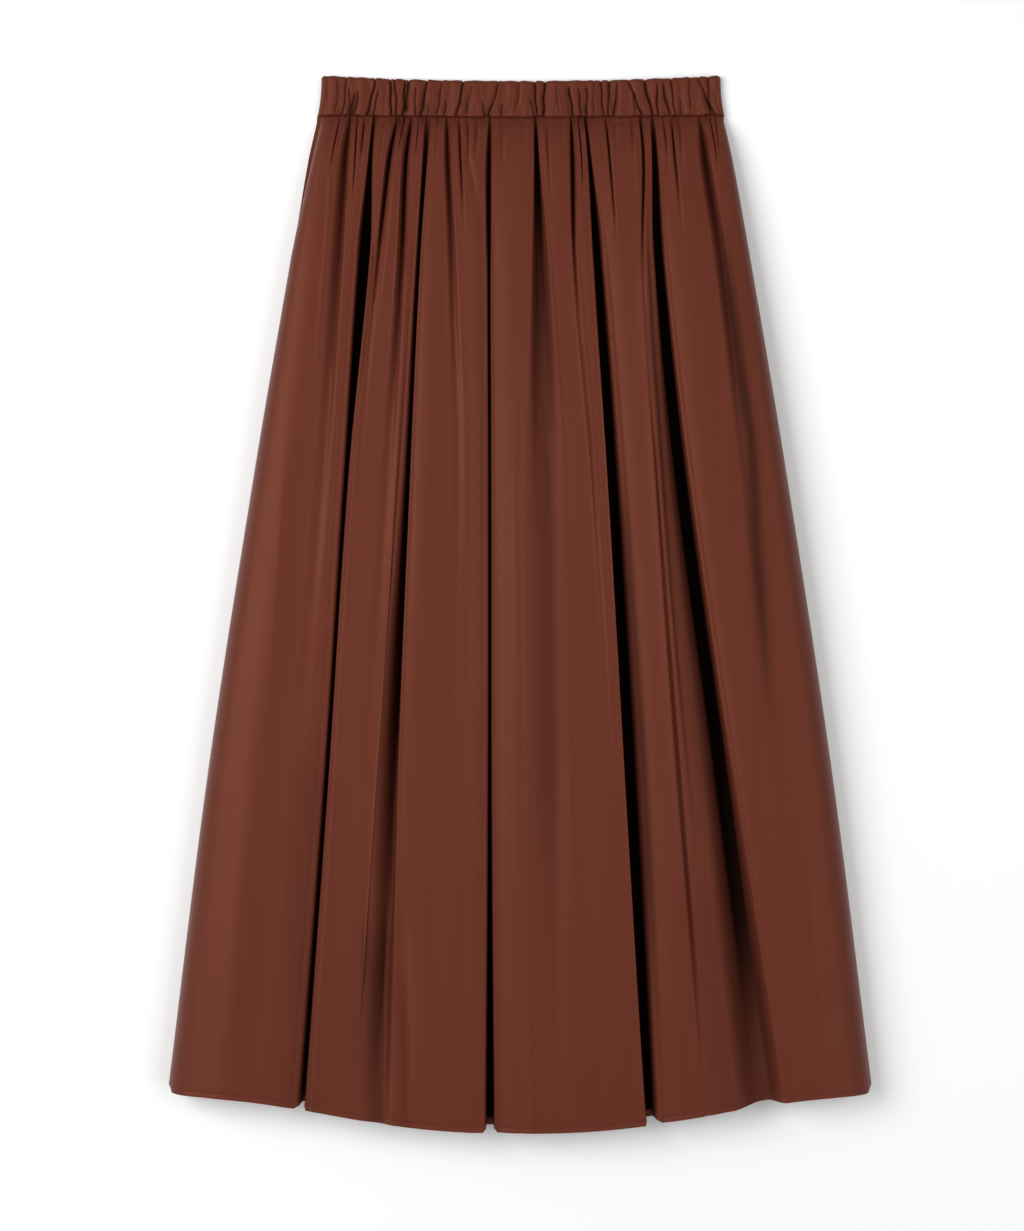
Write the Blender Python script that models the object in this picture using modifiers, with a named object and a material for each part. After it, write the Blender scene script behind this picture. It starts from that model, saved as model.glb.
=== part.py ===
"""A long gathered skirt lying face up: a front and a back panel gathered into an elasticated waistband.

The waist points to +Y, the front faces +Z and the garment rests on Z = 0. Everything is in metres.
"""

from collections import namedtuple
from math import cos, exp, pi

import bmesh
import bpy

# Cloth and seams
WALL = 0.0012
BAND_WALL = 0.0016
SEAM_GAP = 0.0003

# The waistband, seen flat
BAND_DEPTH = 0.0340
BAND_HALF_WIDTH = 0.1675
TOP_DIP = 0.0045
SEAM_DIP = 0.0015
BAND_ROUND = 0.004
RUCHE_HEIGHT = 0.0034
RUCHE_SPACING = 0.009
BAND_ROWS = (0.0, 0.08, 0.36, 0.64, 0.92, 1.0)
BAND_LEVEL = 0.08
BAND_BACK_COLUMNS = 14

# How far down the skirt each fold is stated: at the waist seam, below it, at the hip, thigh, knee and hem
HEM_DROP = 0.837
DROPS = (0.0, 0.035, 0.120, 0.300, 0.560, HEM_DROP)
ROWS = (
    0.0, 0.005, 0.011, 0.020, 0.034, 0.056, 0.086, 0.126,
    0.176, 0.240, 0.320, 0.420, 0.530, 0.640, 0.745, HEM_DROP,
)
BACK_ROWS = (0.0, 0.040, 0.130, 0.270, 0.460, 0.650, HEM_DROP)

# The outline at those drops, and how far the back shows beside the front's turned side seam
HALF_WIDTH_LEFT = (0.1712, 0.1788, 0.1925, 0.2222, 0.2612, 0.2950)
HALF_WIDTH_RIGHT = (0.1700, 0.1772, 0.1918, 0.2210, 0.2595, 0.2935)
LEFT_TURN = (0.0040, 0.0038, 0.0, 0.0, 0.0, 0.0)

# How high the folds stand: a quick puff out of the waist seam, then a slow swell towards the hem
SEAM_CROWN = 0.0078
PUFF = 0.0090
PUFF_LENGTH = 0.011
SWELL = 0.0240
SWELL_LENGTH = 0.160
PANEL_BULGE = 0.070

# The side edges round down to the back panel: shares of the shoulder's width and of the crown's height
SHOULDER = (0.005, 0.009, 0.013, 0.020, 0.030, 0.038)
SHOULDER_CURVE = ((0.0, 0.0), (0.01, 0.34), (0.12, 0.62), (0.45, 0.88), (1.0, 1.0))

# The cloth leaves the waist seam level for this far
SEAM_LEVEL = 0.004

# The hem rises towards the side seams, and the cloth inside a fold hangs a little shorter
HEM_RISE = 0.029
HEM_CURVE = 1.25
FOLD_LIFT = 0.006

# The lowest the front cloth's face comes, just clear of the back panel
FLOOR = WALL + SEAM_GAP + WALL + 0.0004

# Folds of the front, each at the six drops. Depth is a share of the crown's height. The cloth turns
# down at left and right of the centre, is as wide as floor below, and its lips stand at shares of the
# crown. Steps are the places down a fold's walls, from lip to floor, and lean is across the waistband
Fold = namedtuple("Fold", "name lean lips steps centre depth left right floor")
DEEP = (0.0, 0.45, 0.8, 1.0)
SOFT = (0.0,)
FOLDS = (
    Fold("side soft", 0.000, (1.0, 1.0), SOFT,
         centre=(-0.143, -0.146, -0.151, -0.163, -0.185, -0.210),
         depth=(0.50, 0.48, 0.34, 0.12, 0.0, 0.0),
         left=(0.0030, 0.0060, 0.0075, 0.0070, 0.0080, 0.0100),
         right=(0.0020, 0.0030, 0.0040, 0.0045, 0.0060, 0.0100),
         floor=(0.0006, 0.0010, 0.0010, 0.0010, 0.0010, 0.0010)),
    Fold("left slot", 0.003, (0.80, 0.97), DEEP,
         centre=(-0.123, -0.1255, -0.1305, -0.144, -0.160, -0.180),
         depth=(0.75, 0.95, 1.0, 1.0, 1.0, 1.0),
         left=(0.0018, 0.0026, 0.0070, 0.0056, 0.0090, 0.0110),
         right=(0.0016, 0.0024, 0.0060, 0.0032, 0.0030, 0.0040),
         floor=(0.0008, 0.0014, 0.0046, 0.0016, 0.0012, 0.0014)),
    Fold("left branch", -0.002, (1.0, 1.0), SOFT,
         centre=(-0.104, -0.110, -0.119, -0.134, -0.150, -0.168),
         depth=(0.50, 0.56, 0.12, 0.0, 0.0, 0.0),
         left=(0.0020, 0.0030, 0.0016, 0.0020, 0.0020, 0.0020),
         right=(0.0020, 0.0030, 0.0030, 0.0030, 0.0030, 0.0030),
         floor=(0.0006, 0.0010, 0.0006, 0.0006, 0.0006, 0.0006)),
    Fold("left middle", 0.000, (1.0, 1.0), SOFT,
         centre=(-0.092, -0.096, -0.099, -0.110, -0.128, -0.148),
         depth=(0.55, 0.60, 0.34, 0.08, 0.0, 0.0),
         left=(0.0024, 0.0034, 0.0045, 0.0060, 0.0070, 0.0070),
         right=(0.0024, 0.0030, 0.0034, 0.0050, 0.0060, 0.0060),
         floor=(0.0006, 0.0010, 0.0010, 0.0010, 0.0010, 0.0010)),
    Fold("left inner slot", 0.003, (0.80, 1.0), DEEP,
         centre=(-0.078, -0.080, -0.085, -0.093, -0.104, -0.117),
         depth=(0.50, 0.70, 0.75, 0.90, 0.75, 0.22),
         left=(0.0032, 0.0030, 0.0034, 0.0100, 0.0160, 0.0160),
         right=(0.0032, 0.0028, 0.0024, 0.0024, 0.0034, 0.0120),
         floor=(0.0008, 0.0012, 0.0014, 0.0014, 0.0012, 0.0030)),
    Fold("middle soft", 0.000, (1.0, 1.0), SOFT,
         centre=(-0.062, -0.061, -0.057, -0.052, -0.058, -0.062),
         depth=(0.45, 0.38, 0.16, 0.03, 0.0, 0.0),
         left=(0.0024, 0.0034, 0.0040, 0.0050, 0.0060, 0.0060),
         right=(0.0024, 0.0034, 0.0040, 0.0050, 0.0060, 0.0060),
         floor=(0.0006, 0.0010, 0.0010, 0.0010, 0.0010, 0.0010)),
    Fold("middle slot", 0.004, (0.96, 0.86), DEEP,
         centre=(-0.026, -0.026, -0.0265, -0.026, -0.026, -0.026),
         depth=(0.70, 0.75, 1.0, 1.0, 1.0, 1.0),
         left=(0.0016, 0.0030, 0.0032, 0.0040, 0.0050, 0.0070),
         right=(0.0016, 0.0018, 0.0028, 0.0040, 0.0060, 0.0090),
         floor=(0.0006, 0.0010, 0.0014, 0.0014, 0.0012, 0.0022)),
    Fold("middle wide", -0.002, (0.94, 0.94), DEEP,
         centre=(0.012, 0.013, 0.015, 0.019, 0.023, 0.026),
         depth=(0.75, 0.95, 0.78, 0.40, 0.20, 0.0),
         left=(0.0018, 0.0026, 0.0036, 0.0080, 0.0120, 0.0120),
         right=(0.0018, 0.0030, 0.0060, 0.0110, 0.0130, 0.0120),
         floor=(0.0008, 0.0014, 0.0018, 0.0050, 0.0070, 0.0070)),
    Fold("right lip", -0.001, (1.0, 1.0), SOFT,
         centre=(0.042, 0.043, 0.0445, 0.0600, 0.0770, 0.0940),
         depth=(0.55, 0.60, 0.14, 0.05, 0.0, 0.0),
         left=(0.0016, 0.0030, 0.0018, 0.0016, 0.0020, 0.0020),
         right=(0.0016, 0.0028, 0.0022, 0.0016, 0.0020, 0.0020),
         floor=(0.0006, 0.0010, 0.0006, 0.0006, 0.0006, 0.0006)),
    Fold("right slot", -0.002, (1.0, 0.76), DEEP,
         centre=(0.054, 0.057, 0.063, 0.074, 0.089, 0.106),
         depth=(0.70, 0.75, 1.0, 1.0, 1.0, 1.0),
         left=(0.0016, 0.0018, 0.0036, 0.0030, 0.0030, 0.0034),
         right=(0.0016, 0.0024, 0.0070, 0.0110, 0.0150, 0.0110),
         floor=(0.0006, 0.0010, 0.0026, 0.0038, 0.0044, 0.0020)),
    Fold("right crease", -0.004, (1.0, 0.90), SOFT,
         centre=(0.100, 0.102, 0.101, 0.112, 0.131, 0.154),
         depth=(0.50, 0.50, 0.07, 0.06, 0.16, 0.03),
         left=(0.0016, 0.0018, 0.0012, 0.0012, 0.0022, 0.0030),
         right=(0.0016, 0.0018, 0.0014, 0.0014, 0.0024, 0.0030),
         floor=(0.0006, 0.0008, 0.0005, 0.0005, 0.0008, 0.0008)),
    Fold("right soft slot", -0.004, (0.78, 0.96), DEEP,
         centre=(0.110, 0.1115, 0.115, 0.133, 0.168, 0.202),
         depth=(0.75, 0.95, 1.0, 1.0, 0.95, 0.66),
         left=(0.0022, 0.0030, 0.0060, 0.0150, 0.0240, 0.0250),
         right=(0.0022, 0.0034, 0.0050, 0.0070, 0.0090, 0.0170),
         floor=(0.0008, 0.0014, 0.0030, 0.0034, 0.0036, 0.0050)),
    Fold("far right", -0.003, (1.0, 1.0), SOFT,
         centre=(0.150, 0.154, 0.166, 0.186, 0.214, 0.244),
         depth=(0.50, 0.52, 0.30, 0.12, 0.02, 0.0),
         left=(0.0030, 0.0060, 0.0060, 0.0050, 0.0060, 0.0060),
         right=(0.0030, 0.0050, 0.0060, 0.0050, 0.0060, 0.0060),
         floor=(0.0006, 0.0012, 0.0012, 0.0010, 0.0010, 0.0010)),
)

# Short gathers between the folds: where each leaves the waist seam, how far it leans across the
# waistband above, how far down it reaches, and how deep it is, all of them made shallower by GATHERED
Gather = namedtuple("Gather", "seam lean reach depth")
GATHERED = 0.7
GATHERS = (
    Gather(-0.1590, 0.000, 0.040, 0.40),
    Gather(-0.1515, 0.001, 0.055, 0.45),
    Gather(-0.1385, 0.002, 0.080, 0.50),
    Gather(-0.1305, 0.002, 0.045, 0.60),
    Gather(-0.1130, 0.001, 0.060, 0.50),
    Gather(-0.0985, -0.003, 0.030, 0.50),
    Gather(-0.0855, -0.002, 0.040, 0.50),
    Gather(-0.0700, 0.002, 0.045, 0.40),
    Gather(-0.0535, 0.004, 0.095, 0.60),
    Gather(-0.0450, 0.004, 0.040, 0.45),
    Gather(-0.0365, 0.004, 0.035, 0.45),
    Gather(-0.0165, 0.002, 0.065, 0.45),
    Gather(-0.0070, 0.000, 0.035, 0.35),
    Gather(0.0045, 0.000, 0.030, 0.45),
    Gather(0.0205, 0.001, 0.080, 0.55),
    Gather(0.0290, 0.000, 0.040, 0.35),
    Gather(0.0360, -0.001, 0.035, 0.45),
    Gather(0.0480, -0.001, 0.070, 0.60),
    Gather(0.0640, 0.000, 0.030, 0.40),
    Gather(0.0705, 0.001, 0.110, 0.65),
    Gather(0.0785, 0.001, 0.030, 0.40),
    Gather(0.0870, -0.004, 0.030, 0.35),
    Gather(0.0940, -0.006, 0.040, 0.45),
    Gather(0.1180, 0.003, 0.045, 0.50),
    Gather(0.1255, 0.001, 0.100, 0.60),
    Gather(0.1330, 0.002, 0.055, 0.50),
    Gather(0.1420, 0.000, 0.030, 0.35),
    Gather(0.1575, -0.003, 0.050, 0.50),
    Gather(0.1640, -0.003, 0.035, 0.40),
)

# Pressed folds of the back, which open downwards and rise between the front's slots
BackFold = namedtuple("BackFold", "seam hem width")
BACK_FOLDS = (
    BackFold(-0.150, -0.240, 0.0045),
    BackFold(-0.100, -0.150, 0.0035),
    BackFold(-0.052, -0.070, 0.0050),
    BackFold(-0.007, 0.000, 0.0040),
    BackFold(0.033, 0.065, 0.0035),
    BackFold(0.082, 0.136, 0.0045),
    BackFold(0.135, 0.240, 0.0040),
)
BACK_RISE = (0.0018, 0.0040, 0.0070, 0.0090, 0.0090, 0.0080)

# Length from the hem's lowest point to the waistband's top corners, which centres the part on Y = 0
LENGTH = HEM_DROP + SEAM_DIP + SEAM_GAP + BAND_DEPTH
SEAM_Y = LENGTH / 2 - BAND_DEPTH - SEAM_GAP

CLOTH_BROWN = (0.130, 0.040, 0.026, 1.0)


def along(values, drop):
    """Reads a value that is stated at the six drops, on a smooth curve through them."""
    last = len(DROPS) - 2
    span = min(last, max(0, sum(drop >= d for d in DROPS) - 1))

    def slope(index):
        low, high = max(0, index - 1), min(len(DROPS) - 1, index + 1)
        return (values[high] - values[low]) / (DROPS[high] - DROPS[low])

    width = DROPS[span + 1] - DROPS[span]
    t = (drop - DROPS[span]) / width
    return (
        values[span] * (2 * t**3 - 3 * t**2 + 1)
        + slope(span) * width * (t**3 - 2 * t**2 + t)
        + values[span + 1] * (3 * t**2 - 2 * t**3)
        + slope(span + 1) * width * (t**3 - t**2)
    )


def share(value):
    return min(1.0, max(0.0, value))


def dip(x, depth):
    """How far an edge of the waistband dips in its middle."""
    return depth * (1 - share(abs(x) / BAND_HALF_WIDTH) ** 2)


def crown_at(drop):
    """Height of the folds' crests at one drop."""
    return SEAM_CROWN + PUFF * (1 - exp(-drop / PUFF_LENGTH)) + SWELL * (1 - exp(-drop / SWELL_LENGTH))


def wall_share(step, opened):
    """Height left at a step of the way from a fold's lip to its floor.

    At the waist seam it is an even double curve, and an opened fold rolls over its lip, then drops away.
    """
    even = 1 - step * step * (3 - 2 * step)
    rolled = 1 - step**3
    return even + (rolled - even) * opened


def fold_points(fold, drop):
    """Points (x, height, lift) of the front cloth's face across one fold, from its left lip to its right."""
    centre = along(fold.centre, drop)
    depth = share(along(fold.depth, drop))
    rise = crown_at(drop) - FLOOR
    floor = along(fold.floor, drop)
    low = FLOOR + rise * (1 - depth)
    opened = share(drop / DROPS[2])
    points = []
    for side, reach, lip in (
        (-1, along(fold.left, drop), fold.lips[0]),
        (1, along(fold.right, drop), fold.lips[1]),
    ):
        high = FLOOR + rise * (1 - (1 - lip) * depth * opened)
        run = [
            (centre + side * (reach + step * (floor - reach)),
             low + (high - low) * wall_share(step, opened),
             FOLD_LIFT * depth * step)
            for step in fold.steps
        ]
        points.append(run if side < 0 else run[::-1])
    middle = [(centre, low, FOLD_LIFT * depth)] if fold.steps == SOFT else []
    return points[0] + middle + points[1]


def edge_points(side, drop):
    """Points of the front cloth's face where it rounds down to a side seam, from the seam inwards."""
    if side < 0:
        edge = -along(HALF_WIDTH_LEFT, drop) + max(0.0, along(LEFT_TURN, drop))
    else:
        edge = along(HALF_WIDTH_RIGHT, drop)
    shoulder = along(SHOULDER, drop)
    rise = crown_at(drop) - FLOOR
    return [
        (edge - side * inset * shoulder, FLOOR + rise * height, 0.0)
        for inset, height in SHOULDER_CURVE
    ]


def panel_points(before, after, seam_span, drop):
    """Points across the cloth between two folds: a valley at each short gather, and a crest on each side."""
    (x_low, z_low, _), (x_high, z_high, _) = before, after
    seam_low, seam_high = seam_span
    gathers = [gather for gather in GATHERS if seam_low < gather.seam < seam_high]
    stops = [seam_low] + [gather.seam for gather in gathers] + [seam_high]
    count = 2 * len(gathers) + 1 if gathers else 0
    spread = share(drop / DROPS[2])
    points = []
    for index in range(count):
        pair = index // 2
        valley = index % 2 == 1
        place = stops[pair + 1] if valley else (stops[pair] + stops[pair + 1]) / 2
        at_seam = (place - seam_low) / (seam_high - seam_low)
        even = (index + 1) / (count + 1)
        at = at_seam + (even - at_seam) * spread * (2 - spread)
        bulge = PANEL_BULGE * (x_high - x_low) * 4 * at * (1 - at) * spread
        height = z_low + (z_high - z_low) * at + bulge
        if valley:
            fade = share(1 - drop / gathers[pair].reach)
            height -= (height - FLOOR) * GATHERED * gathers[pair].depth * fade * fade * (3 - 2 * fade)
        points.append((x_low + (x_high - x_low) * at, height, 0.0))
    return points


def front_section(drop):
    """All points (x, height, lift) across the front panel at one drop, from the left seam to the right."""
    section = edge_points(-1, drop)
    seams = [-BAND_HALF_WIDTH] + [fold.centre[0] for fold in FOLDS] + [BAND_HALF_WIDTH]
    right_edge = edge_points(1, drop)[::-1]
    for index, span in enumerate(zip(seams, seams[1:])):
        following = fold_points(FOLDS[index], drop) if index < len(FOLDS) else right_edge
        section += panel_points(section[-1], following[0], span, drop)
        section += following
    return section


def hem_drop(x):
    """Length of the cloth from the waist seam to the hem at this place along the hem."""
    swing = (1 - cos(pi * share(abs(x) / HALF_WIDTH_LEFT[-1]))) / 2
    return HEM_DROP - HEM_RISE * swing ** HEM_CURVE


def laid_out(section_of, rows):
    """Rows of points for a panel: each column runs from the waist seam to its own place on the hem."""
    lengths = [hem_drop(x) - lift for x, _, lift in section_of(HEM_DROP - SEAM_LEVEL)]
    surface = []
    for row in rows:
        section = section_of(max(0.0, row - SEAM_LEVEL))
        surface.append([
            (x, SEAM_Y - dip(x, SEAM_DIP) - row * length / HEM_DROP, height)
            for (x, height, _), length in zip(section, lengths)
        ])
    return surface


def back_section(drop):
    """All points (x, height, lift) across the back panel's face at one drop."""
    left, right = -along(HALF_WIDTH_LEFT, drop), along(HALF_WIDTH_RIGHT, drop)
    rise = along(BACK_RISE, drop)
    section = [(left, 0.0, 0.0)]
    for fold in BACK_FOLDS:
        centre = fold.seam + (fold.hem - fold.seam) * drop / HEM_DROP
        half = fold.width / 2
        section.append(((section[-1][0] + centre - 2 * half) / 2, 0.0, 0.0))
        section += [
            (centre - half, 0.0, 0.0),
            (centre - half * 0.7, rise, 0.0),
            (centre + half * 0.7, rise, 0.0),
            (centre + half, 0.0, 0.0),
        ]
    section.append(((section[-1][0] + right) / 2, 0.0, 0.0))
    section.append((right, 0.0, 0.0))
    return section


def ruches():
    """Every crease of the waistband's front as (x at the waist seam, x at the top edge, depth)."""
    creases = [(g.seam, g.seam + g.lean, 0.5 + g.depth) for g in GATHERS]
    creases += [(fold.centre[0], fold.centre[0] + fold.lean, 0.9) for fold in FOLDS]
    return sorted(creases)


def band_y(x, row):
    """Place down the waistband at a row, from its dipping top edge to the waist seam."""
    top = SEAM_Y + SEAM_GAP + BAND_DEPTH - dip(x, TOP_DIP)
    return top + (SEAM_Y + SEAM_GAP - dip(x, SEAM_DIP) - top) * row


def band_front_surface():
    """Rows of points over the waistband's ruched front face, from its top edge to the waist seam."""
    creases = ruches()
    ends = (-BAND_HALF_WIDTH + LEFT_TURN[0], BAND_HALF_WIDTH)
    seat = BAND_WALL * 2 + SEAM_GAP * 2
    surface = []
    for row in BAND_ROWS:
        across = share((row - BAND_LEVEL) / (1 - 2 * BAND_LEVEL))
        places = [(seam + (top - seam) * (1 - across), depth) for seam, top, depth in creases]
        line = [(ends[0], seat), (ends[0] + BAND_ROUND * 0.3, seat + RUCHE_HEIGHT * 0.5)]
        for x, depth in places:
            pinch = min(1.0, depth) * (1.0 if 0 < across < 1 else 0.6)
            previous = line[-1][0]
            crest = RUCHE_HEIGHT * min(1.0, (x - previous) / RUCHE_SPACING)
            line.append(((previous + x) / 2, seat + crest))
            line.append((x, seat + crest * (1 - pinch)))
        line.append((ends[1] - BAND_ROUND * 0.3, seat + RUCHE_HEIGHT * 0.5))
        line.append((ends[1], seat))
        surface.append([(x, band_y(x, row), height) for x, height in line])
    return surface


def band_back_surface():
    """Rows of points over the waistband's back face, which rests flat."""
    places = [2 * column / BAND_BACK_COLUMNS - 1 for column in range(BAND_BACK_COLUMNS + 1)]
    surface = []
    for row in (0.0, 1.0):
        xs = [BAND_HALF_WIDTH * place for place in places]
        surface.append([(x, band_y(x, row), 0.0) for x in xs])
    return surface


def cloth_material():
    material = bpy.data.materials.new("taffeta")
    material.use_nodes = True
    shader = material.node_tree.nodes["Principled BSDF"]
    shader.inputs["Base Color"].default_value = CLOTH_BROWN
    shader.inputs["Roughness"].default_value = 0.55
    shader.inputs["Metallic"].default_value = 0.0
    return material


def cloth_piece(name, surface, thickness, faces_up, material, collection):
    """A piece of cloth: a grid moved onto rows of points, made a wall towards the garment's inside."""
    rows, columns = len(surface), len(surface[0])
    bm = bmesh.new()
    bmesh.ops.create_grid(bm, x_segments=columns - 1, y_segments=rows - 1, size=1.0)
    for vertex in bm.verts:
        column = round((vertex.co.x + 1) / 2 * (columns - 1))
        row = round((1 - vertex.co.y) / 2 * (rows - 1))
        vertex.co = surface[row][column]
    if not faces_up:
        bmesh.ops.reverse_faces(bm, faces=bm.faces)
    mesh = bpy.data.meshes.new(name)
    bm.to_mesh(mesh)
    bm.free()
    mesh.shade_smooth()
    piece = bpy.data.objects.new(name, mesh)
    collection.objects.link(piece)
    piece.data.materials.append(material)
    wall = piece.modifiers.new("wall", "SOLIDIFY")
    wall.thickness = thickness
    wall.offset = -1.0
    wall.use_even_offset = False
    return piece


def front_panel(cloth, skirt):
    cloth_piece("front_panel", laid_out(front_section, ROWS), WALL, True, cloth, skirt)


def back_panel(cloth, skirt):
    cloth_piece("back_panel", laid_out(back_section, BACK_ROWS), WALL, False, cloth, skirt)


def waistband_front(cloth, skirt):
    cloth_piece("waistband_front", band_front_surface(), BAND_WALL, True, cloth, skirt)


def waistband_back(cloth, skirt):
    cloth_piece("waistband_back", band_back_surface(), BAND_WALL, False, cloth, skirt)


def main():
    for old in list(bpy.data.objects):
        bpy.data.objects.remove(old)
    skirt = bpy.data.collections.new("gathered skirt")
    bpy.context.scene.collection.children.link(skirt)
    cloth = cloth_material()
    front_panel(cloth, skirt)
    back_panel(cloth, skirt)
    waistband_front(cloth, skirt)
    waistband_back(cloth, skirt)


main()
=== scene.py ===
"""Looks of a long gathered skirt that lies face up: brown taffeta, a ruched waistband and a narrow hem.

The folds and gathers follow the solids' own, drawn finer. Everything is in metres, waist to +Y.
"""

from collections import namedtuple
from math import exp, pi

import bpy
import numpy as np
from bpy.props import FloatProperty, FloatVectorProperty, PointerProperty
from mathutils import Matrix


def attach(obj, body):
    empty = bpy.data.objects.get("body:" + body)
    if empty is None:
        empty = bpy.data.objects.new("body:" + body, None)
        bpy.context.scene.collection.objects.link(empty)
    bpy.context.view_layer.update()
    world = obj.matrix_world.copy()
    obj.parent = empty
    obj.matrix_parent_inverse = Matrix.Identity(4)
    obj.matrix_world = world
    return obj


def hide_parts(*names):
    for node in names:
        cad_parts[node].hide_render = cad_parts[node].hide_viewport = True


bl_info = {
    "name": "Gathered skirt",
    "version": (1, 0, 0),
    "blender": (4, 5, 0),
    "location": "3D View > Sidebar > Skirt",
    "description": "Dresses the solids of a gathered skirt in taffeta, ruches and stitches",
    "category": "Object",
}

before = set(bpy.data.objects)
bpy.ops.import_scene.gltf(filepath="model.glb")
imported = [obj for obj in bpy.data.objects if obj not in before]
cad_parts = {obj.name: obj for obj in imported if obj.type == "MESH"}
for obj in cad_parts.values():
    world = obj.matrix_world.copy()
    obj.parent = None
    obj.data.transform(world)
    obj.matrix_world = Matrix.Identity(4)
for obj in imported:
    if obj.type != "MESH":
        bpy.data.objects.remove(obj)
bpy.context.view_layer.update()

# The solids' sizes
WALL = 0.0012
SEAM_GAP = 0.0003
BAND_DEPTH = 0.0340
BAND_HALF_WIDTH = 0.1675
TOP_DIP = 0.0045
SEAM_DIP = 0.0015
HEM_DROP = 0.837
DROPS = (0.0, 0.035, 0.120, 0.300, 0.560, HEM_DROP)
HALF_WIDTH_LEFT = (0.1712, 0.1788, 0.1925, 0.2222, 0.2612, 0.2950)
HALF_WIDTH_RIGHT = (0.1700, 0.1772, 0.1918, 0.2210, 0.2595, 0.2935)
LEFT_TURN = (0.0040, 0.0038, 0.0, 0.0, 0.0, 0.0)
SEAM_CROWN = 0.0078
PUFF = 0.0090
PUFF_LENGTH = 0.011
SWELL = 0.0240
SWELL_LENGTH = 0.160
PANEL_BULGE = 0.070
SHOULDER = (0.005, 0.009, 0.013, 0.020, 0.030, 0.038)
SHOULDER_CURVE = ((0.0, 0.0), (0.01, 0.34), (0.12, 0.62), (0.45, 0.88), (1.0, 1.0))
SEAM_LEVEL = 0.004
HEM_RISE = 0.029
HEM_CURVE = 1.25
FOLD_LIFT = 0.006
FLOOR = WALL + SEAM_GAP + WALL + 0.0004
LENGTH = HEM_DROP + SEAM_DIP + SEAM_GAP + BAND_DEPTH
SEAM_Y = LENGTH / 2 - BAND_DEPTH - SEAM_GAP

# The cloth over the solids: how far it rests beside a fold's lip at the seam and lower down, how far a
# gather pulls the waist seam, how its sides tuck in, the length above the hem over which its rows come
# to follow the edge, and its ease in length
LIP_REST = (0.0003, 0.0022)
SEAM_PULL = 0.0008
SIDE_TUCK = 0.0008
SIDE_CLEAR = 0.0001
NEAR_HEM = 0.03
EASED = 1.0085

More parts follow.
